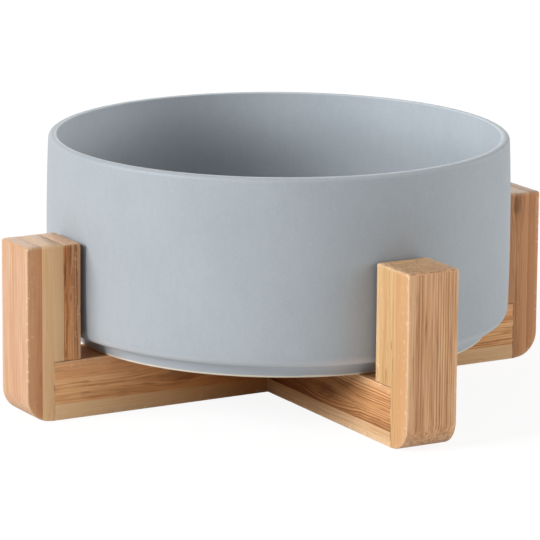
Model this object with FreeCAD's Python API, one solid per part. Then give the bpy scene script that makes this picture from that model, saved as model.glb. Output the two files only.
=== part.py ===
"""Round stoneware pet bowl on a knock-down bamboo cross stand.

Millimetres, +Z up, origin on the floor under the middle of the stand.
The lower rail runs along X and the upper rail along Y. Each carries a post at both ends.
"""
import FreeCAD
import Part
import math
import os

# Bowl, heights measured from the underside of its foot
bowl_diameter = 155.0       # across the widest part of the wall
bowl_height = 66.4
bowl_wall = 3.2
rim_edge_radius = 0.6       # both edges of the flat rim
bowl_floor = 5.0            # thickness at the foot of the inner wall
floor_dish = 0.8            # how far the inside floor falls towards the middle
widest_height = 27.0
rim_draw_in = 0.8           # radius lost between the widest part and the rim
belly_draw_in = 0.5         # radius lost between the widest part and the shoulder
belly_radius = 4.2          # rounding between the wall and the shoulder
inner_corner_radius = 13.0  # rounding between the inner wall and the floor
foot_inset = 8.0            # from the widest radius in to the foot ring
foot_width = 4.6
foot_height = 4.7
foot_flare = 1.0            # the foot ring widens by this towards the shoulder
foot_edge_radius = 0.7
foot_root_radius = 1.2
recess_depth = 3.0          # hollow inside the foot ring
recess_radius = 1.5

# Bamboo stand
stock_width = 18.6          # across every rail and post
rail_height = 19.4
rail_arris = 0.6
post_depth = 19.5           # along the rail
post_height = 58.2
post_arris = 0.5
post_top_radius = 0.8
toe_radius = 8.5            # rounding of the bottom outside corner
rabbet_depth = 9.8          # how far the end of the rail reaches under the post

# Dowel hidden in each corner joint
dowel_diameter = 6.0
dowel_length = 20.0
dowel_in_post = 6.0
dowel_chamfer = 0.7
flute_count = 8
flute_radius = 0.45

# Fits
bowl_clearance = 1.3        # between the bowl's widest part and each post
lap_clearance = 0.15        # on each side of the cross-lap
glue_gap = 0.08             # at the rabbets and round the dowels
glue_well = 0.5             # spare hole beyond each end of a dowel

# Shared places
bowl_radius = bowl_diameter / 2
post_inner = bowl_radius + bowl_clearance
post_outer = post_inner + post_depth
rail_end = post_inner + rabbet_depth
lap_level = rail_height / 2
dowel_level = rail_height / 2
dowel_end = rail_end + dowel_in_post
dowel_start = dowel_end - dowel_length
dowel_hole_radius = dowel_diameter / 2 + glue_gap

run_share = 0.98            # most of a straight run that its two roundings may take
arris_share = 0.9           # largest arris beside the rounding of a post's top
same_place = 1e-6

up = FreeCAD.Vector(0, 0, 1)
outward = FreeCAD.Vector(1, 0, 0)
across = FreeCAD.Vector(0, 1, 0)


def profile_point(radius, height):
    return FreeCAD.Vector(radius, 0, height)


def rounded_face(corners):
    """Face inside a closed outline of (radius, height, rounding) corners.

    A rounding of 0 leaves the corner sharp, and "through" bends the outline in one arc through the
    point. Two roundings that share a run too short for both are cut back to fit it.
    """
    places = [profile_point(radius, height) for radius, height, rounding in corners]
    roundings = [rounding for radius, height, rounding in corners]
    count = len(corners)
    half_angles = []
    reaches = []
    for index, rounding in enumerate(roundings):
        back = places[index - 1] - places[index]
        ahead = places[(index + 1) % count] - places[index]
        half_angles.append(back.getAngle(ahead) / 2)
        reaches.append(0 if rounding == "through" else rounding / math.tan(half_angles[index]))
    for index in range(count):
        run = places[index].distanceToPoint(places[index - 1])
        wanted = reaches[index] + reaches[index - 1]
        share = min(1, run_share * run / wanted) if wanted else 1
        reaches[index] *= share
        reaches[index - 1] *= share
    edges = []
    starts = []
    ends = []
    for index, place in enumerate(places):
        reach = reaches[index]
        back = (places[index - 1] - place).normalize()
        ahead = (places[(index + 1) % count] - place).normalize()
        starts.append(place + back * reach)
        ends.append(place + ahead * reach)
        if reach:
            arc_radius = reach * math.tan(half_angles[index])
            depth = arc_radius / math.sin(half_angles[index]) - arc_radius
            middle = place + (back + ahead).normalize() * depth
            edges.append(Part.Arc(starts[index], middle, ends[index]).toShape())
    for index, start in enumerate(starts):
        if roundings[index] == "through":
            edges.append(Part.Arc(ends[index - 1], start, starts[(index + 1) % count]).toShape())
        elif roundings[index - 1] != "through":
            edges.append(Part.LineSegment(ends[index - 1], start).toShape())
    return Part.Face(Part.Wire(Part.__sortEdges__(edges)))


def make_bowl():
    """Thrown bowl: one revolved section from the foot ring round the rim to the inside floor."""
    foot_outer = bowl_radius - foot_inset
    foot_inner = foot_outer - foot_width
    belly_corner = bowl_radius - belly_draw_in
    rim_outer = bowl_radius - rim_draw_in
    inside_level = recess_depth + bowl_floor
    section = rounded_face([
        (0, recess_depth, 0),
        (foot_inner, recess_depth, recess_radius),
        (foot_inner, 0, foot_edge_radius),
        (foot_outer, 0, foot_edge_radius),
        (foot_outer + foot_flare, foot_height, foot_root_radius),
        (belly_corner, foot_height, belly_radius),
        (bowl_radius, widest_height, "through"),
        (rim_outer, bowl_height, rim_edge_radius),
        (rim_outer - bowl_wall, bowl_height, rim_edge_radius),
        (bowl_radius - bowl_wall, widest_height, "through"),
        (belly_corner - bowl_wall, inside_level, inner_corner_radius),
        (0, inside_level - floor_dish, 0),
    ])
    bowl = section.revolve(FreeCAD.Vector(), up, 360)
    bowl.translate(up * rail_height)
    return bowl


def dowel_hole(start, end):
    """Blind hole along the rail for the hidden dowel."""
    return Part.makeCylinder(dowel_hole_radius, end - start, profile_point(start, dowel_level), outward)


def turned(shape, degrees):
    """Copy of a shape turned about the middle of the stand."""
    return shape.rotated(FreeCAD.Vector(), up, degrees)


def make_rail(slot_bottom, slot_top):
    """Rail along X with its cross-lap slot between two levels and a dowel hole in each end."""
    half_length = rail_end - glue_gap
    corner = FreeCAD.Vector(-half_length, -stock_width / 2, 0)
    rail = Part.makeBox(2 * half_length, stock_width, rail_height, corner)
    long_edges = [edge for edge in rail.Edges if abs(edge.Length - 2 * half_length) < same_place]
    rail = rail.makeFillet(rail_arris, long_edges)
    slot_width = stock_width + 2 * lap_clearance
    slot_corner = FreeCAD.Vector(-slot_width / 2, -stock_width, slot_bottom)
    slot = Part.makeBox(slot_width, 2 * stock_width, slot_top - slot_bottom, slot_corner)
    hole = dowel_hole(dowel_start - glue_well, rail_end)
    return rail.cut([slot, hole, turned(hole, 180)])


def make_post():
    """Post at the +X end of a rail, rabbeted over the end of the rail, with a rounded toe."""
    rabbet_level = rail_height + glue_gap
    side = rounded_face([
        (rail_end, 0, 0),
        (post_outer, 0, toe_radius),
        (post_outer, post_height, post_top_radius),
        (post_inner, post_height, post_top_radius),
        (post_inner, rabbet_level, 0),
        (rail_end, rabbet_level, 0),
    ])
    side.translate(across * (-stock_width / 2))
    post = side.extrude(across * stock_width)

    def is_eased(edge):
        # Outline edges of the two side faces, apart from the floor edge and the rabbet
        middle = edge.CenterOfMass
        on_side = abs(abs(middle.y) - stock_width / 2) < same_place
        in_rabbet = middle.x < rail_end + same_place and middle.z < rabbet_level + same_place
        return on_side and not in_rabbet and middle.z > same_place

    arris = min(post_arris, arris_share * post_top_radius)
    post = post.makeFillet(arris, [edge for edge in post.Edges if is_eased(edge)])
    return post.cut(dowel_hole(rail_end - glue_well, dowel_end + glue_well))


def make_dowel():
    """Fluted dowel with chamfered ends, lying along the rail in the +X corner joint."""
    radius = dowel_diameter / 2
    dowel = Part.makeCylinder(radius, dowel_length, profile_point(dowel_start, dowel_level), outward)
    rims = [edge for edge in dowel.Edges if edge.Closed]
    dowel = dowel.makeChamfer(dowel_chamfer, rims)
    flutes = []
    for index in range(flute_count):
        turn = 2 * math.pi * index / flute_count
        place = FreeCAD.Vector(dowel_start, radius * math.cos(turn), dowel_level + radius * math.sin(turn))
        flutes.append(Part.makeCylinder(flute_radius, dowel_length, place, outward))
    return dowel.cut(flutes)


post = make_post()
dowel = make_dowel()
nodes = {
    "bowl": make_bowl(),
    "lower_rail": make_rail(lap_level, 2 * rail_height),
    "upper_rail": turned(make_rail(-rail_height, lap_level), 90),
}
for side_name, degrees in {"right": 0, "back": 90, "left": 180, "front": 270}.items():
    nodes["post_" + side_name] = turned(post, degrees)
    nodes["dowel_" + side_name] = turned(dowel, degrees)

os.makedirs("parts", exist_ok=True)
for name, shape in nodes.items():
    print(f"{name}: valid {shape.isValid()}, {len(shape.Solids)} solid, {shape.Volume / 1000:.2f} cm3")
    shape.exportStep(f"parts/{name}.step")
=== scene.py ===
import math
import bmesh
import bpy
from mathutils import Matrix, Vector, noise


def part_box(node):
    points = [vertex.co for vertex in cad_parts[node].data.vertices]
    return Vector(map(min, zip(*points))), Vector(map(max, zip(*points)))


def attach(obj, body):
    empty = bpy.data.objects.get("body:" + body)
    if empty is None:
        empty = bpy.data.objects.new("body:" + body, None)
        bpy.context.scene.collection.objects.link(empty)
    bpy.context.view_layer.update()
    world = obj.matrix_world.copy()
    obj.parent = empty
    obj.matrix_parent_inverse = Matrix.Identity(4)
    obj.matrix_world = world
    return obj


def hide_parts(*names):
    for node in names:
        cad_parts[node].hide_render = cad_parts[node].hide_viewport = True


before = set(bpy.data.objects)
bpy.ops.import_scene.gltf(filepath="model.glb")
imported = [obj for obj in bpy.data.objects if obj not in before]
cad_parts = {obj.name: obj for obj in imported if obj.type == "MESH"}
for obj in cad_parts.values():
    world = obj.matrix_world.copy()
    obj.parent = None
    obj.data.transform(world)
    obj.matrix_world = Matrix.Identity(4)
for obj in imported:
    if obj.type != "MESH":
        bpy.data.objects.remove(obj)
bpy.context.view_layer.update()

mm = 0.001
samePlace = 1e-6         # points nearer than this are one point
onCut = 1e-7             # a point this near to a cut lies on it
scene = bpy.context.scene
print("frame loaded:", len(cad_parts), "nodes")


# small helpers for meshes

def roundedSection(bm, corners, steps=1):
    # one face in the XZ plane from (x, z, rounding) corners in metres, rounded by vertex bevels
    verts = [bm.verts.new((x, 0, z)) for x, z, rounding in corners]
    bm.faces.new(verts)
    for vert, (x, z, rounding) in zip(verts, corners):
        if not rounding:
            continue
        arms = [edge.other_vert(vert).co - vert.co for edge in vert.link_edges]
        reach = rounding / math.tan(arms[0].angle(arms[1]) / 2)
        bmesh.ops.bevel(bm, geom=[vert], offset=reach, offset_type="ABSOLUTE", segments=steps, profile=0.5,
                        affect="VERTICES", clamp_overlap=False, material=-1)


def cutLoops(bm, axis, places):
    # edge loops round the whole piece, at these places along one axis
    normal = Vector([1 if index == axis else 0 for index in range(3)])
    for place in places:
        bmesh.ops.bisect_plane(bm, geom=bm.verts[:] + bm.edges[:] + bm.faces[:], dist=onCut,
                               plane_co=normal * place, plane_no=normal)


def spread(start, end, gap):
    # evenly spaced places between two ends, about one gap apart
    count = max(1, round((end - start) / gap))
    return [start + (end - start) * index / count for index in range(1, count)]


def addMesh(name, bm, materials):
    mesh = bpy.data.meshes.new(name)
    bm.to_mesh(mesh)
    bm.free()
    for material in materials:
        mesh.materials.append(material)
    holder = bpy.data.objects.new(name, mesh)
    scene.collection.objects.link(holder)
    return holder


def addPiece(name, bm, materials, body, node, creaseAngle):
    piece = addMesh(name, bm, materials)
    piece.data.shade_smooth()
    piece.data.set_sharp_from_angle(angle=math.radians(creaseAngle))
    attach(piece, body)
    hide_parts(node)
    print(name, "made,", len(piece.data.polygons), "faces")


# small helpers for materials

def nodeBuilder(tree):
    tree.nodes.clear()

    def build(kind, inputs=None, **settings):
        node = tree.nodes.new(kind)
        for key, value in settings.items():
            setattr(node, key, value)
        for key, value in (inputs or {}).items():
            if isinstance(value, bpy.types.NodeSocket):
                tree.links.new(value, node.inputs[key])
            else:
                node.inputs[key].default_value = value
        return node

    return build


def newMaterial(name):
    material = bpy.data.materials.new(name)
    material.use_nodes = True
    return material, nodeBuilder(material.node_tree)


def calc(build, operation, first, second=0.0, third=0.0, clamp=False):
    node = build("ShaderNodeMath", {0: first, 1: second, 2: third}, operation=operation, use_clamp=clamp)
    return node.outputs[0]


def vectorCalc(build, operation, *values):
    node = build("ShaderNodeVectorMath", dict(enumerate(values)), operation=operation)
    return node.outputs["Value" if operation in ("LENGTH", "DOT_PRODUCT") else "Vector"]


def between(build, value, low, high):
    # 0 at low, 1 at high, smooth in the middle
    node = build("ShaderNodeMapRange", {"Value": value, "From Min": low, "From Max": high},
                 interpolation_type="SMOOTHSTEP")
    return node.outputs["Result"]


def axisValue(build, vector, axis):
    return build("ShaderNodeSeparateXYZ", {"Vector": vector}).outputs["XYZ"[axis]]


def mapped(build, vector, scale, shift=0.0):
    node = build("ShaderNodeMapping", {"Vector": vector, "Scale": scale, "Location": (shift,) * 3})
    return node.outputs["Vector"]


def noiseAt(build, vector, settings):
    scale, detail, rough = settings
    node = build("ShaderNodeTexNoise", {"Vector": vector, "Scale": scale, "Detail": detail, "Roughness": rough})
    return node.outputs


def shaded(color, share):
    return [share * value for value in color]


def mixColor(build, factor, first, second, blend="MIX"):
    sides = [side if isinstance(side, bpy.types.NodeSocket) else (*side, 1) for side in (first, second)]
    node = build("ShaderNodeMix", {0: factor, 6: sides[0], 7: sides[1]}, data_type="RGBA", blend_type=blend)
    return node.outputs[2]


def colorRamp(build, factor, places, colors):
    node = build("ShaderNodeValToRGB", {"Fac": factor})
    elements = node.color_ramp.elements
    while len(elements) < len(places):
        elements.new(0.5)
    for element, place, color in zip(elements, places, colors):
        element.position = place
        element.color = (*color, 1)
    return node.outputs["Color"]


def addSurface(build, look, color, rough, relief):
    bump = build("ShaderNodeBump", {"Strength": look["bump"], "Distance": look["bumpDepth"], "Height": relief})
    surface = build("ShaderNodeBsdfPrincipled", {
        "Base Color": color, "Roughness": rough, "Specular IOR Level": look["specular"],
        "Normal": bump.outputs["Normal"],
    })
    build("ShaderNodeOutputMaterial", {"Surface": surface.outputs["BSDF"]})


# matte grey glaze, bare clay at the foot

glazeLook = {
    # clouds, brush marks, rare dark specks and fine grain, each noise by its scale per metre, detail, roughness
    "color": (0.358, 0.394, 0.428), "deep": (0.340, 0.376, 0.411), "speck": (0.29, 0.325, 0.36),
    "cloudNoise": (34.0, 3.0, 0.55), "cloudEdge": (0.3, 0.7),
    "brushNoise": (420.0, 2.0, 0.5), "brushEdge": (0.4, 0.75), "brushShare": 0.18,
    "brushStretch": (1.0, 1.0, 0.45),
    "speckScale": 330.0, "speckEdge": (0.16, 0.07), "speckRare": (0.82, 0.86), "speckShare": 0.35,
    "grainNoise": (1500.0, 2.0, 0.6), "grainShare": 0.6,
    # painted light from below: the glaze paler under the shoulder and in the root of the foot, bands of height
    # above the foot
    "shoulder": (0.66, 0.70, 0.74), "shoulderBand": (8.9 * mm, 4.0 * mm),
    "foot": (0.385, 0.42, 0.455), "footBand": (4.9 * mm, 4.5 * mm),
    "paintedLiftRoot": (0.52, 0.565, 0.61), "paintedLiftRootBand": (1.2 * mm, 4.7 * mm),
    # the inside starts at a height above the foot, and at a reach out from the inner edge of the rim
    "insideBand": (6.3 * mm, 6.6 * mm), "insideReach": (1.5 * mm, 0.5 * mm),
    # there it has painted light below the rim and painted shade lower down, and at that edge thin glaze under a
    # painted highlight: bands of height from the rim
    "paintedInsideLight": 1.2, "paintedInsideShade": 0.85, "paintedInsideShadeBand": (-1.0 * mm, -26.0 * mm),
    "thinEdgeHighlight": (0.56, 0.60, 0.63), "thinEdgeHighlightShare": 0.35,
    "thinEdgeHighlightBand": (-0.5 * mm, -0.2 * mm), "thinEdgeHighlightReach": (0.9 * mm, 0.3 * mm),
    # clay shows below a wavering edge, at this height above the underside of the foot
    "clay": (0.74, 0.67, 0.55), "clayShade": 0.9, "clayRougher": 0.3,
    "bareHeight": 0.75 * mm, "bareWaver": 0.5 * mm, "bareEdge": (-0.06 * mm, 0.06 * mm),
    "waverNoise": (120.0, 2.0, 0.5),
    "roughness": 0.56, "roughSpread": 0.08, "specular": 0.42,
    "grainRelief": 0.6, "cloudRelief": 1.6, "bump": 0.22, "bumpDepth": 0.05 * mm,
}


def glazeMaterial(footLevel, rimLevel, rimInside):
    look = glazeLook
    material, build = newMaterial("greyGlaze")
    place = build("ShaderNodeTexCoord").outputs["Object"]
    height = axisValue(build, place, 2)
    apart = vectorCalc(build, "LENGTH", vectorCalc(build, "MULTIPLY", place, (1, 1, 0)))    # from the axis

    def band(value, level, ends):
        # the two ends are given from a level
        return between(build, value, level + ends[0], level + ends[1])

    cloud = noiseAt(build, place, look["cloudNoise"])["Fac"]
    tone = mixColor(build, between(build, cloud, *look["cloudEdge"]), look["deep"], look["color"])
    brush = noiseAt(build, mapped(build, place, look["brushStretch"]), look["brushNoise"])["Fac"]
    brush = calc(build, "MULTIPLY", between(build, brush, *look["brushEdge"]), look["brushShare"])
    tone = mixColor(build, brush, tone, look["speck"])
    specks = build("ShaderNodeTexVoronoi", {"Vector": place, "Scale": look["speckScale"]}).outputs
    chance = build("ShaderNodeTexWhiteNoise", {"Vector": specks["Position"]}).outputs["Value"]
    dot = between(build, specks["Distance"], *look["speckEdge"])
    dot = calc(build, "MULTIPLY", dot, between(build, chance, *look["speckRare"]))
    tone = mixColor(build, calc(build, "MULTIPLY", dot, look["speckShare"]), tone, look["speck"])
    grain = noiseAt(build, place, look["grainNoise"])["Fac"]
    grit = calc(build, "MULTIPLY", calc(build, "SUBTRACT", grain, 0.5), look["grainShare"])
    tone = mixColor(build, grit, tone, (1, 1, 1), "SOFT_LIGHT")
    # painted light from below: paler under the shoulder and on the foot
    tone = mixColor(build, band(height, footLevel, look["shoulderBand"]), tone, look["shoulder"])
    liftOnFoot = mixColor(build, band(height, footLevel, look["paintedLiftRootBand"]), look["foot"], look["paintedLiftRoot"])
    tone = mixColor(build, band(height, footLevel, look["footBand"]), tone, liftOnFoot)
    # inside, painted light below the rim and painted shade lower down
    insideShadeRamp = band(height, rimLevel, look["paintedInsideShadeBand"])
    paintedInsideTone = mixColor(build, insideShadeRamp, (look["paintedInsideLight"],) * 3, (look["paintedInsideShade"],) * 3)
    inside = calc(build, "MULTIPLY", band(apart, rimInside, look["insideReach"]),
                  band(height, footLevel, look["insideBand"]))
    tone = mixColor(build, inside, tone, mixColor(build, 1.0, tone, paintedInsideTone, "MULTIPLY"))
    # thin glaze over the inner edge of the rim, with a painted highlight
    onEdge = calc(build, "MULTIPLY", band(height, rimLevel, look["thinEdgeHighlightBand"]),
                  band(apart, rimInside, look["thinEdgeHighlightReach"]))
    tone = mixColor(build, calc(build, "MULTIPLY", onEdge, look["thinEdgeHighlightShare"]), tone, look["thinEdgeHighlight"])
    # bare clay below the wavering edge
    waver = noiseAt(build, place, look["waverNoise"])["Fac"]
    lowest = footLevel + look["bareHeight"] - look["bareWaver"] / 2
    edge = calc(build, "MULTIPLY_ADD", waver, look["bareWaver"], lowest)
    glazed = between(build, calc(build, "SUBTRACT", height, edge), *look["bareEdge"])
    clayTone = mixColor(build, grain, shaded(look["clay"], look["clayShade"]), look["clay"])
    color = mixColor(build, glazed, clayTone, tone)
    smoothest = look["roughness"] - look["roughSpread"] / 2
    rough = calc(build, "MULTIPLY_ADD", cloud, look["roughSpread"], smoothest)
    rough = calc(build, "MULTIPLY_ADD", calc(build, "SUBTRACT", 1.0, glazed), look["clayRougher"], rough)
    relief = calc(build, "MULTIPLY", cloud, look["cloudRelief"])
    relief = calc(build, "MULTIPLY_ADD", grain, look["grainRelief"], relief)
    addSurface(build, look, color, rough, relief)
    return material


# laminated bamboo: fibres run along one axis, so end faces and rounded toes show cut fibre ends

stripLooks = {
    # tones, then the strength of thin dark lines, soft streaks, fine fibres, flecks and marks on cut ends,
    # then of the waves and the rows, the gap between rows, and how much painted shade a rail takes under the
    # bowl towards the crossing
    "pale": {
        "base": (0.565, 0.333, 0.205), "dark": (0.455, 0.225, 0.115), "light": (0.65, 0.44, 0.30),
        "lines": 0.15, "streaks": 0.35, "fibres": 1.0, "flecks": 0.2, "ends": 0.2,
        "wave": 0.2, "rows": 0.35, "rowGap": 1.5 * mm, "inner": 1.0,
    },
    "khaki": {
        "base": (0.735, 0.458, 0.240), "dark": (0.63, 0.355, 0.155), "light": (0.82, 0.56, 0.315),
        "lines": 0.10, "streaks": 0.25, "fibres": 0.5, "flecks": 0.2, "ends": 0.1,
        "wave": 0.25, "rows": 0.15, "rowGap": 1.6 * mm, "inner": 1.0,
    },
    "brown": {
        "base": (0.560, 0.249, 0.107), "dark": (0.46, 0.185, 0.068), "light": (0.66, 0.325, 0.155),
        "lines": 0.10, "streaks": 0.30, "fibres": 0.6, "flecks": 0.25, "ends": 0.2,
        "wave": 0.25, "rows": 0.20, "rowGap": 1.3 * mm, "inner": 1.0,
    },
    "umber": {
        "base": (0.565, 0.282, 0.134), "dark": (0.35, 0.148, 0.060), "light": (0.60, 0.32, 0.165),
        "lines": 0.20, "streaks": 0.50, "fibres": 0.8, "flecks": 0.35, "ends": 0.2,
        "wave": 0.4, "rows": 0.25, "rowGap": 1.3 * mm, "inner": 1.0,
    },
    "tan": {
        "base": (0.82, 0.395, 0.171), "dark": (0.55, 0.235, 0.082), "light": (0.84, 0.47, 0.23),
        "lines": 0.25, "streaks": 0.5, "fibres": 0.7, "flecks": 0.45, "ends": 0.4,
        "wave": 0.7, "rows": 0.30, "rowGap": 1.2 * mm, "inner": 1.0,
    },
    "streaked": {
        "base": (0.56, 0.228, 0.077), "dark": (0.175, 0.048, 0.012), "light": (0.65, 0.305, 0.123),
        "lines": 0.45, "streaks": 0.75, "fibres": 1.4, "flecks": 0.8, "ends": 0.2,
        "wave": 1.1, "rows": 0.85, "rowGap": 0.9 * mm, "inner": 1.0,
    },
    "wavy": {
        "base": (0.86, 0.460, 0.207), "dark": (0.47, 0.190, 0.064), "light": (0.89, 0.54, 0.27),
        "lines": 0.45, "streaks": 0.4, "fibres": 1.3, "flecks": 0.5, "ends": 0.4,
        "wave": 0.9, "rows": 0.50, "rowGap": 0.7 * mm, "inner": 1.0,
    },
    "ruled": {
        "base": (0.53, 0.262, 0.108), "dark": (0.19, 0.064, 0.018), "light": (0.60, 0.325, 0.145),
        "lines": 0.30, "streaks": 0.5, "fibres": 1.0, "flecks": 0.4, "ends": 0.4,
        "wave": 0.7, "rows": 0.95, "rowGap": 0.85 * mm, "inner": 1.0,
    },
    "striped": {
        "base": (0.68, 0.345, 0.147), "dark": (0.20, 0.062, 0.016), "light": (0.65, 0.34, 0.145),
        "lines": 0.30, "streaks": 0.5, "fibres": 1.0, "flecks": 0.4, "ends": 0.4,
        "wave": 0.5, "rows": 0.80, "rowGap": 1.2 * mm, "inner": 0.4,
    },
    "oat": {
        "base": (0.625, 0.418, 0.248), "dark": (0.46, 0.255, 0.115), "light": (0.665, 0.455, 0.265),
        "lines": 0.25, "streaks": 0.4, "fibres": 0.9, "flecks": 0.35, "ends": 0.4,
        "wave": 0.4, "rows": 0.25, "rowGap": 1.2 * mm, "inner": 0.75,
    },
    "honey": {
        "base": (0.568, 0.354, 0.170), "dark": (0.43, 0.222, 0.080), "light": (0.64, 0.43, 0.235),
        "lines": 0.45, "streaks": 0.35, "fibres": 0.8, "flecks": 0.7, "ends": 0.7,
        "wave": 0.35, "rows": 0.25, "rowGap": 1.2 * mm, "inner": 1.0,
    },
    "amber": {
        "base": (0.525, 0.284, 0.124), "dark": (0.465, 0.224, 0.086), "light": (0.60, 0.358, 0.175),
        "lines": 0.05, "streaks": 0.25, "fibres": 0.55, "flecks": 0.2, "ends": 0.7,
        "wave": 0.25, "rows": 0.0, "rowGap": 1.2 * mm, "inner": 1.0,
    },
    "lined": {
        "base": (0.73, 0.424, 0.226), "dark": (0.36, 0.142, 0.052), "light": (0.82, 0.53, 0.30),
        "lines": 0.25, "streaks": 0.25, "fibres": 0.9, "flecks": 0.25, "ends": 0.7,
        "wave": 0.10, "rows": 0.72, "rowGap": 1.0 * mm, "inner": 1.0,
    },
}
grainLook = {
    "waveAmount": 1.1 * mm, "rippleShare": 0.3, "rowWander": 9.0,
    "streakSpread": 2.6, "fibreSpread": 1.3, "slowSpread": 0.5,
    "tonePlaces": (0.1, 0.5, 0.9),    # of dark, base and light
    # painted shade under the bowl towards the crossing, over a band from the middle of the stand
    "underBowlShadeTone": (0.84, 0.56, 0.31), "underBowlShadeBand": (84.0 * mm, 14.0 * mm),    # from the middle of the stand
    "endTone": (0.555, 0.343, 0.196), "endDark": (0.27, 0.135, 0.06),
    "endShare": 1.05, "endShareLoss": 0.7,    # less where an end is marked
    "bundleScale": 1000.0, "bundleAlong": 0.012, "bundleShift": 0.2,
    "fleckShare": 0.3, "poreShare": 0.7, "poreShade": 0.45,
    "knotRagged": 2.2, "knotPush": -0.75, "knotShade": 0.4,
    "wornTone": (0.86, 0.66, 0.45), "wornShare": 0.27, "chipShare": 0.5,
    "glueShare": 0.65, "glueShade": 0.3,
    "roughness": 0.52, "roughSpread": 0.2, "endShine": 0.14, "specular": 0.2,
    "bundleRelief": -0.5, "lineRelief": -0.6, "sideRelief": 0.8, "endRelief": 0.2,
    "bump": 0.35, "bumpDepth": 0.06 * mm,
}
grainNoise = {
    # scale along the grain against across it, shift, then scale per metre, detail and roughness
    "drift": (0.35, 0.0, (110.0, 2.0, 0.5)),
    "ripple": (0.4, 0.1, (330.0, 1.0, 0.5)),
    "ragged": (0.3, 0.0, (600.0, 2.0, 0.5)),
    "lines": (0.006, 0.0, (1650.0, 1.5, 0.5)),
    "streaks": (0.02, 0.4, (480.0, 3.0, 0.55)),
    "fibres": (0.025, 0.6, (2100.0, 2.0, 0.6)),
    "slow": (0.3, 0.7, (55.0, 1.0, 0.5)),
    "rowWander": (0.01, 0.3, (420.0, 1.0, 0.5)),
    "rowDepth": (0.006, 0.8, (330.0, 1.0, 0.5)),
    "mottle": (1.0, 0.0, (720.0, 2.0, 0.5)),
    "pores": (0.1, 0.9, (1100.0, 1.0, 0.5)),
    "chips": (1.0, 0.0, (650.0, 3.0, 0.5)),
    "glue": (1.0, 0.0, (330.0, 2.0, 0.5)),
}
grainEdges = {
    # the values at which a pattern starts and is full
    "ends": (0.2, 0.85), "lines": (0.46, 0.64), "rows": (0.2, 0.95), "rowDepth": (0.36, 0.60),
    "mottle": (0.44, 0.68), "bundles": (0.44, 0.14), "pores": (0.66, 0.73),
    "chips": (0.58, 0.66), "glue": (0.40, 0.62), "knot": (1.0, 0.25), "knotBend": (2.6, 0.4),
}
knots = {
    # middle and half sizes of a knot in the stand's own frame, and how dark its heart is
    "postRight": {
        "place": (89.6 * mm, -9.3 * mm, 54.0 * mm), "size": (2.2 * mm, 4.0 * mm, 5.5 * mm), "depth": 0.6,
    },
    "upperRail": {
        "place": (-9.3 * mm, -49.0 * mm, 9.6 * mm), "size": (4.0 * mm, 10.0 * mm, 3.2 * mm), "depth": 0.45,
    },
    "lowerRail": {
        "place": (-41.0 * mm, -9.3 * mm, 10.0 * mm), "size": (10.0 * mm, 4.0 * mm, 2.8 * mm), "depth": 0.4,
    },
}
bambooMade = {}


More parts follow.
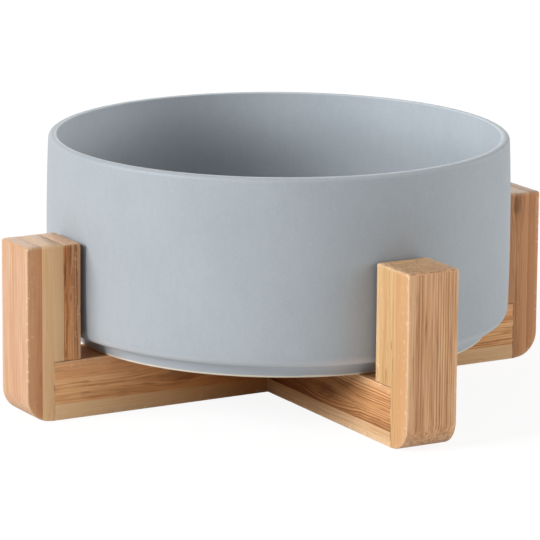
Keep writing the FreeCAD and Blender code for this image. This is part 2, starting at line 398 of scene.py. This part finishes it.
def bambooMaterial(kind, grain, knot=None):
    # grain is the axis that the fibres run along
    name = "bamboo" + kind.capitalize() + "XYZ"[grain] + (knot or "")
    if name in bambooMade:
        return bambooMade[name]
    look = stripLooks[kind]
    wood = grainLook
    material, build = newMaterial(name)
    place = build("ShaderNodeTexCoord").outputs["Object"]

    def stretched(vector, along, shift):
        return mapped(build, vector, [along if axis == grain else 1.0 for axis in range(3)], shift)

    def pattern(which, vector, output="Fac"):
        along, shift, settings = grainNoise[which]
        return noiseAt(build, stretched(vector, along, shift), settings)[output]

    def edged(which, value):
        return between(build, value, *grainEdges[which])

    def centred(value, strength, rest=0.0):
        return calc(build, "MULTIPLY_ADD", calc(build, "SUBTRACT", value, 0.5), strength, rest)

    # the fibres wander a little from side to side, and bend round a knot
    amount = look["wave"] * wood["waveAmount"]
    wandered = place
    for which, share in (("drift", 1.0), ("ripple", wood["rippleShare"])):
        way = vectorCalc(build, "SUBTRACT", pattern(which, place, "Color"), (0.5, 0.5, 0.5))
        wandered = vectorCalc(build, "MULTIPLY_ADD", way, (amount * share,) * 3, wandered)
    if knot:
        offset = vectorCalc(build, "SUBTRACT", place, knots[knot]["place"])
        shrunk = vectorCalc(build, "MULTIPLY", offset, [1 / size for size in knots[knot]["size"]])
        reach = vectorCalc(build, "LENGTH", shrunk)
        push = calc(build, "MULTIPLY", edged("knotBend", reach), wood["knotPush"])
        wandered = vectorCalc(build, "MULTIPLY_ADD", offset, push, wandered)
    fibres = pattern("fibres", wandered)
    tone = centred(pattern("streaks", wandered), wood["streakSpread"] * look["streaks"], 0.5)
    tone = calc(build, "ADD", tone, centred(fibres, wood["fibreSpread"] * look["fibres"]))
    tone = calc(build, "ADD", tone, centred(pattern("slow", place), wood["slowSpread"]), clamp=True)
    color = colorRamp(build, tone, wood["tonePlaces"], (look["dark"], look["base"], look["light"]))
    # thin dark lines on the sides
    normal = build("ShaderNodeNewGeometry").outputs["Normal"]
    endOn = edged("ends", calc(build, "ABSOLUTE", axisValue(build, normal, grain)))
    sideOn = calc(build, "SUBTRACT", 1.0, endOn)
    line = calc(build, "MULTIPLY", edged("lines", pattern("lines", wandered)), look["lines"])
    if look["rows"]:
        # fibre bundles in near parallel rows, some darker than others
        acrossGrain = [0.0 if axis == grain else 1.0 for axis in range(3)]
        rowPlace = vectorCalc(build, "DOT_PRODUCT", wandered, acrossGrain)
        phase = calc(build, "MULTIPLY", rowPlace, math.tau / look["rowGap"])
        phase = calc(build, "MULTIPLY_ADD", pattern("rowWander", wandered), wood["rowWander"], phase)
        depth = edged("rowDepth", pattern("rowDepth", wandered))
        row = calc(build, "MULTIPLY", edged("rows", calc(build, "SINE", phase)), depth)
        line = calc(build, "MAXIMUM", line, calc(build, "MULTIPLY", row, look["rows"]))
    color = mixColor(build, calc(build, "MULTIPLY", line, sideOn), color, look["dark"])
    if grain < 2:
        # painted shade under the bowl: a rail is browner towards the crossing
        along = calc(build, "ABSOLUTE", axisValue(build, place, grain))
        inner = calc(build, "MULTIPLY", between(build, along, *wood["underBowlShadeBand"]), look["inner"])
        color = mixColor(build, inner, color, mixColor(build, 1.0, color, wood["underBowlShadeTone"], "MULTIPLY"))
    # cut ends have a tone of their own, with dark mottles
    endShare = wood["endShare"] - wood["endShareLoss"] * look["ends"]
    color = mixColor(build, calc(build, "MULTIPLY", endOn, endShare), color, wood["endTone"])
    mottle = calc(build, "MULTIPLY", edged("mottle", pattern("mottle", place)),
                  calc(build, "MULTIPLY", endOn, look["ends"]))
    color = mixColor(build, mottle, color, wood["endDark"])
    # vessel bundles: dots where the fibres are cut across, dashes along the sides
    bundles = build("ShaderNodeTexVoronoi", {
        "Vector": stretched(wandered, wood["bundleAlong"], wood["bundleShift"]), "Scale": wood["bundleScale"],
    })
    bundle = edged("bundles", bundles.outputs["Distance"])
    fleck = calc(build, "MULTIPLY_ADD", endOn, look["ends"], wood["fleckShare"] * look["flecks"])
    color = mixColor(build, calc(build, "MULTIPLY", bundle, fleck, clamp=True), color, look["dark"])
    # short dark pores
    poreShare = wood["poreShare"] * look["flecks"]
    pore = calc(build, "MULTIPLY", edged("pores", pattern("pores", wandered)), poreShare)
    color = mixColor(build, pore, color, shaded(look["dark"], wood["poreShade"]))
    if knot:
        # the heart of the knot, with a ragged edge
        ragged = calc(build, "ADD", reach, centred(pattern("ragged", place), wood["knotRagged"]))
        heart = calc(build, "MULTIPLY", edged("knot", ragged), knots[knot]["depth"])
        color = mixColor(build, heart, color, shaded(look["dark"], wood["knotShade"]))
    # worn arrises are paler, with small bright chips
    wear = build("ShaderNodeAttribute", attribute_name="wear").outputs["Fac"]
    chips = edged("chips", pattern("chips", place))
    worn = calc(build, "MULTIPLY_ADD", chips, wood["chipShare"], wood["wornShare"])
    color = mixColor(build, calc(build, "MULTIPLY", wear, worn), color, wood["wornTone"])
    # broken dark line of old glue along a joint
    stain = build("ShaderNodeAttribute", attribute_name="stain").outputs["Fac"]
    glue = calc(build, "MULTIPLY", stain, edged("glue", pattern("glue", place)))
    color = mixColor(build, calc(build, "MULTIPLY", glue, wood["glueShare"]), color,
                     shaded(look["dark"], wood["glueShade"]))
    # sanded ends shine a little
    smoothest = wood["roughness"] - wood["roughSpread"] / 2
    rough = calc(build, "MULTIPLY_ADD", fibres, wood["roughSpread"], smoothest)
    rough = calc(build, "MULTIPLY_ADD", endOn, -wood["endShine"], rough)
    relief = calc(build, "MULTIPLY_ADD", line, wood["lineRelief"], fibres)
    relief = calc(build, "MULTIPLY_ADD", bundle, wood["bundleRelief"], relief)
    relief = calc(build, "MULTIPLY", relief,
                  calc(build, "MULTIPLY_ADD", sideOn, wood["sideRelief"], wood["endRelief"]))
    addSurface(build, wood, color, rough, relief)
    bambooMade[name] = material
    return material


# bowl: one section spun round the axis

bowlShape = {
    "wall": 3.2 * mm, "rimWall": 2.8 * mm, "rimOuter": 1.4 * mm, "rimInner": 0.4 * mm,
    "floor": 5.0 * mm, "floorDish": 0.8 * mm, "innerCorner": 13.0 * mm,
    "rimDrawIn": 0.855 * mm, "bellyDrawIn": 0.587 * mm, "bellyRadius": 4.2 * mm,
    "footInset": 8.0 * mm, "footWidth": 4.6 * mm, "footHeight": 4.7 * mm, "footFlare": 1.0 * mm,
    "footEdge": 0.7 * mm, "footRoot": 2.0 * mm, "recess": 3.0 * mm, "recessCorner": 1.5 * mm,
    # the wall is one long bow, rounded from a corner that stands a little proud of it
    "bowHeight": 37.25 * mm, "bow": 0.58 * mm, "bowRadius": 648.0 * mm,
    "innerBow": 0.34 * mm, "innerBowRadius": 440.0 * mm,
    "cornerSteps": 10, "segments": 240, "crease": 50,
}


def makeBowl():
    shape = bowlShape
    low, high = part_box("bowl")
    radius = high.x
    footOuter = radius - shape["footInset"]
    footInner = footOuter - shape["footWidth"]
    belly = radius - shape["bellyDrawIn"]
    rim = radius - shape["rimDrawIn"]
    rimInside = rim - shape["rimWall"]
    seat = low.z
    inside = seat + shape["recess"] + shape["floor"]
    bm = bmesh.new()
    roundedSection(bm, [
        (0, seat + shape["recess"], 0),
        (footInner, seat + shape["recess"], shape["recessCorner"]),
        (footInner, seat, shape["footEdge"]),
        (footOuter, seat, shape["footEdge"]),
        (footOuter + shape["footFlare"], seat + shape["footHeight"], shape["footRoot"]),
        (belly, seat + shape["footHeight"], shape["bellyRadius"]),
        (radius + shape["bow"], seat + shape["bowHeight"], shape["bowRadius"]),
        (rim, high.z, shape["rimOuter"]),
        (rimInside, high.z, shape["rimInner"]),
        (radius - shape["wall"] + shape["innerBow"], seat + shape["bowHeight"], shape["innerBowRadius"]),
        (belly - shape["wall"], inside, shape["innerCorner"]),
        (0, inside - shape["floorDish"], 0),
    ], shape["cornerSteps"])
    bmesh.ops.delete(bm, geom=bm.faces[:], context="FACES_ONLY")
    axisEdges = [edge for edge in bm.edges if all(vert.co.x < samePlace for vert in edge.verts)]
    bmesh.ops.delete(bm, geom=axisEdges, context="EDGES")
    bmesh.ops.spin(bm, geom=bm.verts[:] + bm.edges[:], cent=(0, 0, 0), axis=(0, 0, 1), angle=math.tau,
                   steps=shape["segments"], use_merge=True)
    bmesh.ops.remove_doubles(bm, verts=bm.verts[:], dist=samePlace)
    bmesh.ops.recalc_face_normals(bm, faces=bm.faces[:])
    glaze = glazeMaterial(seat, high.z, rimInside)
    addPiece("bowlGlazed", bm, [glaze], "bowl", "bowl", shape["crease"])


makeBowl()


# bamboo stock: a profile pushed out to the stock width, its arrises eased, glue lines cut in

stockShape = {
    "seamHalf": 0.10 * mm,      # half width of the groove at a glue line
    "seamDepth": 0.05 * mm,
    "arrisSteps": 3,
    "loopGap": 1.2 * mm,        # spacing along the grain of the loops that carry chips and wear
    "crossGap": 2.4 * mm,       # and across the stock
    "chipDepth": 0.3 * mm, "chipScale": 520.0, "chipFrom": 0.35,
    "chipShare": 0.9,           # of the faces round a point that belong to an arris, before it can chip
    "seedShift": (3.7, 1.3, 2.1),
    "stainWidth": 0.35 * mm,
    "faceOut": 0.6,             # least outward slope of the broad outer face
    "crease": 30,
}


def extrudeAcross(bm, low, high):
    made = bmesh.ops.extrude_face_region(bm, geom=bm.faces[:])
    moved = [item for item in made["geom"] if isinstance(item, bmesh.types.BMVert)]
    bmesh.ops.translate(bm, verts=moved, vec=(0, high - low, 0))
    bmesh.ops.translate(bm, verts=bm.verts[:], vec=(0, low, 0))
    bmesh.ops.recalc_face_normals(bm, faces=bm.faces[:])


def easeArrises(bm, edges, size):
    marked = bm.faces.layers.int.get("arris") or bm.faces.layers.int.new("arris")
    made = bmesh.ops.bevel(bm, geom=edges, offset=size, offset_type="OFFSET", segments=stockShape["arrisSteps"],
                           profile=0.5, affect="EDGES", material=-1)
    for face in made["faces"]:
        face[marked] = 1
    # an eased edge may run out to a point
    bmesh.ops.remove_doubles(bm, verts=bm.verts[:], dist=samePlace)


def glueLines(bm, axis, places):
    half = stockShape["seamHalf"]
    for place in places:
        cutLoops(bm, axis, (place - half, place, place + half))
    bm.normal_update()
    for vert in bm.verts:
        if any(abs(vert.co[axis] - place) < samePlace for place in places):
            vert.co -= vert.normal * stockShape["seamDepth"]


def wearArrises(bm, seed):
    # small chips along the eased edges, and a wear value for the material
    marked = bm.faces.layers.int["arris"]
    wear = bm.verts.layers.float.new("wear")
    bm.normal_update()
    shift = Vector([seed * step for step in stockShape["seedShift"]])
    for vert in bm.verts:
        share = sum(face[marked] for face in vert.link_faces) / len(vert.link_faces)
        vert[wear] = share
        if share > stockShape["chipShare"]:
            chip = noise.noise(vert.co * stockShape["chipScale"] + shift) - stockShape["chipFrom"]
            vert.co -= vert.normal * max(0.0, chip) * stockShape["chipDepth"]


def stainSeams(bm, isSeam):
    # a value for the old glue along a joint
    stain = bm.verts.layers.float.new("stain")
    for vert in bm.verts:
        vert[stain] = 1.0 if isSeam(vert.co) else 0.0


def paintStrips(bm, axis, places):
    # one material index for each strip between the glue lines, and on a post the last for its outer face
    bm.normal_update()
    for face in bm.faces:
        middle = face.calc_center_median()[axis]
        face.material_index = sum(middle > place for place in places)
        if axis == 0 and face.normal.x > stockShape["faceOut"]:
            face.material_index = len(places) + 1


def turnRound(bm, degrees):
    turn = Matrix.Rotation(math.radians(degrees), 3, "Z")
    bmesh.ops.rotate(bm, verts=bm.verts[:], cent=(0, 0, 0), matrix=turn)


def railAxis(degrees):
    # the axis that a rail turned this far runs along
    return degrees // 90 % 2


# posts: the same piece four times, turned round the middle of the stand

postShape = {"toe": 8.5 * mm, "topRound": 0.8 * mm, "cornerSteps": 8, "arris": 0.5 * mm, "rabbetGap": 0.18 * mm}
postStrips = {
    # strips from the inner face out with their glue lines, then the broad outer face
    "right": {
        "turn": 0, "body": "lower_frame", "knot": "postRight",
        "shares": (0.40, 0.78), "strips": ("umber", "umber", "brown"), "face": "pale",
    },
    "back": {
        "turn": 90, "body": "upper_frame", "knot": None,
        "shares": (0.32, 0.70), "strips": ("khaki", "brown", "amber"), "face": "lined",
    },
    "left": {
        "turn": 180, "body": "lower_frame", "knot": None,
        "shares": (0.32, 0.72), "strips": ("streaked", "khaki", "brown"), "face": "pale",
    },
    "front": {
        "turn": 270, "body": "upper_frame", "knot": None,
        "shares": (0.24, 0.62), "strips": ("honey", "honey", "amber"), "face": "lined",
    },
}


def makePost(side, seed):
    look = postStrips[side]
    shape = postShape
    low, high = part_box("post_right")
    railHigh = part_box("lower_rail")[1]
    railEnd = railHigh.x
    railTop = railHigh.z + shape["rabbetGap"]
    bm = bmesh.new()
    roundedSection(bm, [
        (railEnd, low.z, 0),
        (high.x, low.z, shape["toe"]),
        (high.x, high.z, shape["topRound"]),
        (low.x, high.z, shape["topRound"]),
        (low.x, railTop, 0),
        (railEnd, railTop, 0),
    ], shape["cornerSteps"])
    extrudeAcross(bm, low.y, high.y)

    def inRabbet(co):
        return co.x < railEnd + samePlace and co.z < railTop + samePlace

    def isArris(edge):
        ends = [vert.co for vert in edge.verts]
        onSide = abs(ends[0].y - ends[1].y) < samePlace
        offFloor = max(end.z for end in ends) > samePlace
        return onSide and offFloor and not all(inRabbet(end) for end in ends)

    easeArrises(bm, [edge for edge in bm.edges if isArris(edge)], shape["arris"])
    places = [low.x + share * (high.x - low.x) for share in look["shares"]]
    cutLoops(bm, 2, spread(low.z, high.z, stockShape["loopGap"]))
    cutLoops(bm, 1, spread(low.y, high.y, stockShape["crossGap"]))
    cutLoops(bm, 2, [railTop + stockShape["stainWidth"]])
    cutLoops(bm, 0, [railEnd + stockShape["stainWidth"]])
    glueLines(bm, 0, places)
    stainSeams(bm, inRabbet)
    wearArrises(bm, seed)
    paintStrips(bm, 0, places)
    turnRound(bm, look["turn"])
    materials = [bambooMaterial(kind, 2, look["knot"]) for kind in (*look["strips"], look["face"])]
    name = "post" + side.capitalize() + "Bamboo"
    addPiece(name, bm, materials, look["body"], "post_" + side, stockShape["crease"])


for seed, side in enumerate(postStrips):
    makePost(side, seed)


# rails: half-lapped where they cross

railShape = {"arris": 0.6 * mm, "endArris": 0.12 * mm, "lapGap": 0.15 * mm, "firstSeed": 10}
railStrips = {
    # strips from the bottom up with their glue lines, and whether the lap slot is open at the top
    "lower": {
        "turn": 0, "body": "lower_frame", "slotUp": True, "knot": "lowerRail",
        "shares": (0.27, 0.69), "strips": ("khaki", "wavy", "tan"),
    },
    "upper": {
        "turn": 90, "body": "upper_frame", "slotUp": False, "knot": "upperRail",
        "shares": (0.25, 0.79), "strips": ("oat", "ruled", "striped"),
    },
}


def makeRail(level, seed):
    look = railStrips[level]
    shape = railShape
    low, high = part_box("lower_rail")
    slot = high.y + shape["lapGap"]
    middle = (low.z + high.z) / 2
    back, mouth = (low.z, high.z) if look["slotUp"] else (high.z, low.z)
    bm = bmesh.new()
    roundedSection(bm, [(x, z, 0) for x, z in (
        (low.x, back), (high.x, back), (high.x, mouth), (slot, mouth),
        (slot, middle), (-slot, middle), (-slot, mouth), (low.x, mouth),
    )])
    extrudeAcross(bm, low.y, high.y)

    def isArris(edge):
        ends = [vert.co for vert in edge.verts]
        alongRail = abs(ends[0].x - ends[1].x) > samePlace and abs(ends[0].y - ends[1].y) < samePlace
        return alongRail and all(min(end.z - low.z, high.z - end.z) < samePlace for end in ends)

    def isEnd(edge):
        ends = [vert.co for vert in edge.verts]
        upright = abs(ends[0].z - ends[1].z) > samePlace
        return upright and all(abs(abs(end.x) - high.x) < samePlace for end in ends)

    easeArrises(bm, [edge for edge in bm.edges if isEnd(edge)], shape["endArris"])
    easeArrises(bm, [edge for edge in bm.edges if isArris(edge)], shape["arris"])
    places = [low.z + share * (high.z - low.z) for share in look["shares"]]
    cutLoops(bm, 0, spread(low.x, high.x, stockShape["loopGap"]))
    cutLoops(bm, 1, spread(low.y, high.y, stockShape["crossGap"]))
    cutLoops(bm, 0, [low.x + stockShape["stainWidth"], high.x - stockShape["stainWidth"]])
    glueLines(bm, 2, places)
    stainSeams(bm, lambda co: abs(co.x) > high.x - samePlace - shape["endArris"])
    wearArrises(bm, seed)
    paintStrips(bm, 2, places)
    turnRound(bm, look["turn"])
    materials = [bambooMaterial(kind, railAxis(look["turn"]), look["knot"]) for kind in look["strips"]]
    addPiece(level + "RailBamboo", bm, materials, look["body"], level + "_rail", stockShape["crease"])


for seed, level in enumerate(railStrips, railShape["firstSeed"]):
    makeRail(level, seed)


# dowels keep their solids, in plain bamboo along their own rail

for side, look in postStrips.items():
    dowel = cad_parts["dowel_" + side]
    dowel.data.materials.clear()
    dowel.data.materials.append(bambooMaterial("pale", railAxis(look["turn"])))
print("dowels dressed")


# floor, light and camera

floorLook = {
    "half": 6.0, "drop": 0.2 * mm, "glow": 0.90, "shown": 0.13, "bounce": 0.42,
    "card": 0.39, "cardBand": (58.0 * mm, 108.0 * mm),    # white card round the object, out of its shade
}


def makeFloor():
    look = floorLook
    material, build = newMaterial("paleFloor")
    seen = build("ShaderNodeLightPath").outputs["Is Camera Ray"]
    grey = build("ShaderNodeMapRange", {"Value": seen, "To Min": look["bounce"], "To Max": look["shown"]})
    matte = build("ShaderNodeBsdfDiffuse", {"Color": grey.outputs["Result"]})
    apart = vectorCalc(build, "LENGTH", build("ShaderNodeTexCoord").outputs["Object"])
    card = calc(build, "MULTIPLY", between(build, apart, *look["cardBand"]), look["card"])
    card = calc(build, "MULTIPLY", card, calc(build, "SUBTRACT", 1.0, seen))
    glow = build("ShaderNodeEmission", {"Strength": calc(build, "MULTIPLY_ADD", seen, look["glow"], card)})
    both = build("ShaderNodeAddShader", {0: matte.outputs["BSDF"], 1: glow.outputs["Emission"]})
    build("ShaderNodeOutputMaterial", {"Surface": both.outputs["Shader"]})
    bm = bmesh.new()
    bmesh.ops.create_grid(bm, x_segments=1, y_segments=1, size=look["half"])
    bmesh.ops.translate(bm, verts=bm.verts[:], vec=(0, 0, -look["drop"]))
    floor = addMesh("floor", bm, [material])
    print("floor laid")


makeFloor()

lightLook = {
    # suns: the direction the light comes from, its strength, how wide it is and its tint
    "keyLight":  {"from": (-0.89, 0.065, 0.44), "strength": 3.62, "angle": 30.0, "tint": (1.0, 1.0, 1.0)},
    "fillLight": {"from": (0.40, -0.89, 0.20), "strength": 0.98, "angle": 40.0, "tint": (1.0, 1.0, 1.0)},
    "sideLight": {"from": (0.93, -0.12, 0.34), "strength": 1.12, "angle": 30.0, "tint": (1.0, 0.97, 0.93)},
    "backLight": {"from": (0.30, 0.84, 0.45), "strength": 0.6, "angle": 50.0, "tint": (1.0, 0.97, 0.93)},
}
skyLook = {"strength": 0.14, "tint": (1.0, 0.975, 0.93)}


def makeLights():
    for name, look in lightLook.items():
        lamp = bpy.data.lights.new(name, "SUN")
        lamp.energy = look["strength"]
        lamp.color = look["tint"]
        lamp.angle = math.radians(look["angle"])
        holder = bpy.data.objects.new(name, lamp)
        holder.rotation_euler = Vector(look["from"]).to_track_quat("Z", "Y").to_euler()
        scene.collection.objects.link(holder)
    # a soft warm sky lights the object, a white one is seen behind it
    world = bpy.data.worlds.new("studio")
    world.use_nodes = True
    build = nodeBuilder(world.node_tree)
    rays = build("ShaderNodeLightPath").outputs
    seen = calc(build, "MAXIMUM", rays["Is Camera Ray"], rays["Is Glossy Ray"])
    seen = calc(build, "MAXIMUM", seen, rays["Is Transmission Ray"])
    warm = build("ShaderNodeBackground", {"Color": (*skyLook["tint"], 1), "Strength": skyLook["strength"]})
    white = build("ShaderNodeBackground", {"Color": (1, 1, 1, 1)})
    both = build("ShaderNodeMixShader", {
        0: seen, 1: warm.outputs["Background"], 2: white.outputs["Background"],
    })
    build("ShaderNodeOutputWorld", {"Surface": both.outputs["Shader"]})
    scene.world = world
    print("lights set")


makeLights()

cameraLook = {
    "azimuth": -29.79, "elevation": 12.887, "roll": 0.449, "distance": 1.3476, "lens": 267.96,
    "aside": -2.677 * mm, "height": 38.88 * mm,    # the point looked at
    "clipStart": 0.05, "clipEnd": 50.0,
}


def makeCamera():
    look = cameraLook
    turn, lift, roll = (math.radians(look[key]) for key in ("azimuth", "elevation", "roll"))
    back = Vector((math.sin(turn) * math.cos(lift), -math.cos(turn) * math.cos(lift), math.sin(lift)))
    right = Vector((math.cos(turn), math.sin(turn), 0))
    up = back.cross(right)
    target = right * look["aside"] + Vector((0, 0, look["height"]))
    tiltedRight = right * math.cos(roll) + up * math.sin(roll)
    tiltedUp = up * math.cos(roll) - right * math.sin(roll)
    camera = bpy.data.cameras.new("camera")
    camera.lens = look["lens"]
    camera.clip_start = look["clipStart"]
    camera.clip_end = look["clipEnd"]
    holder = bpy.data.objects.new("camera", camera)
    pose = Matrix((tiltedRight, tiltedUp, back)).transposed().to_4x4()
    pose.translation = target + back * look["distance"]
    holder.matrix_world = pose
    scene.collection.objects.link(holder)
    scene.camera = holder
    print("camera set")


makeCamera()
scene.view_settings.view_transform = "Standard"
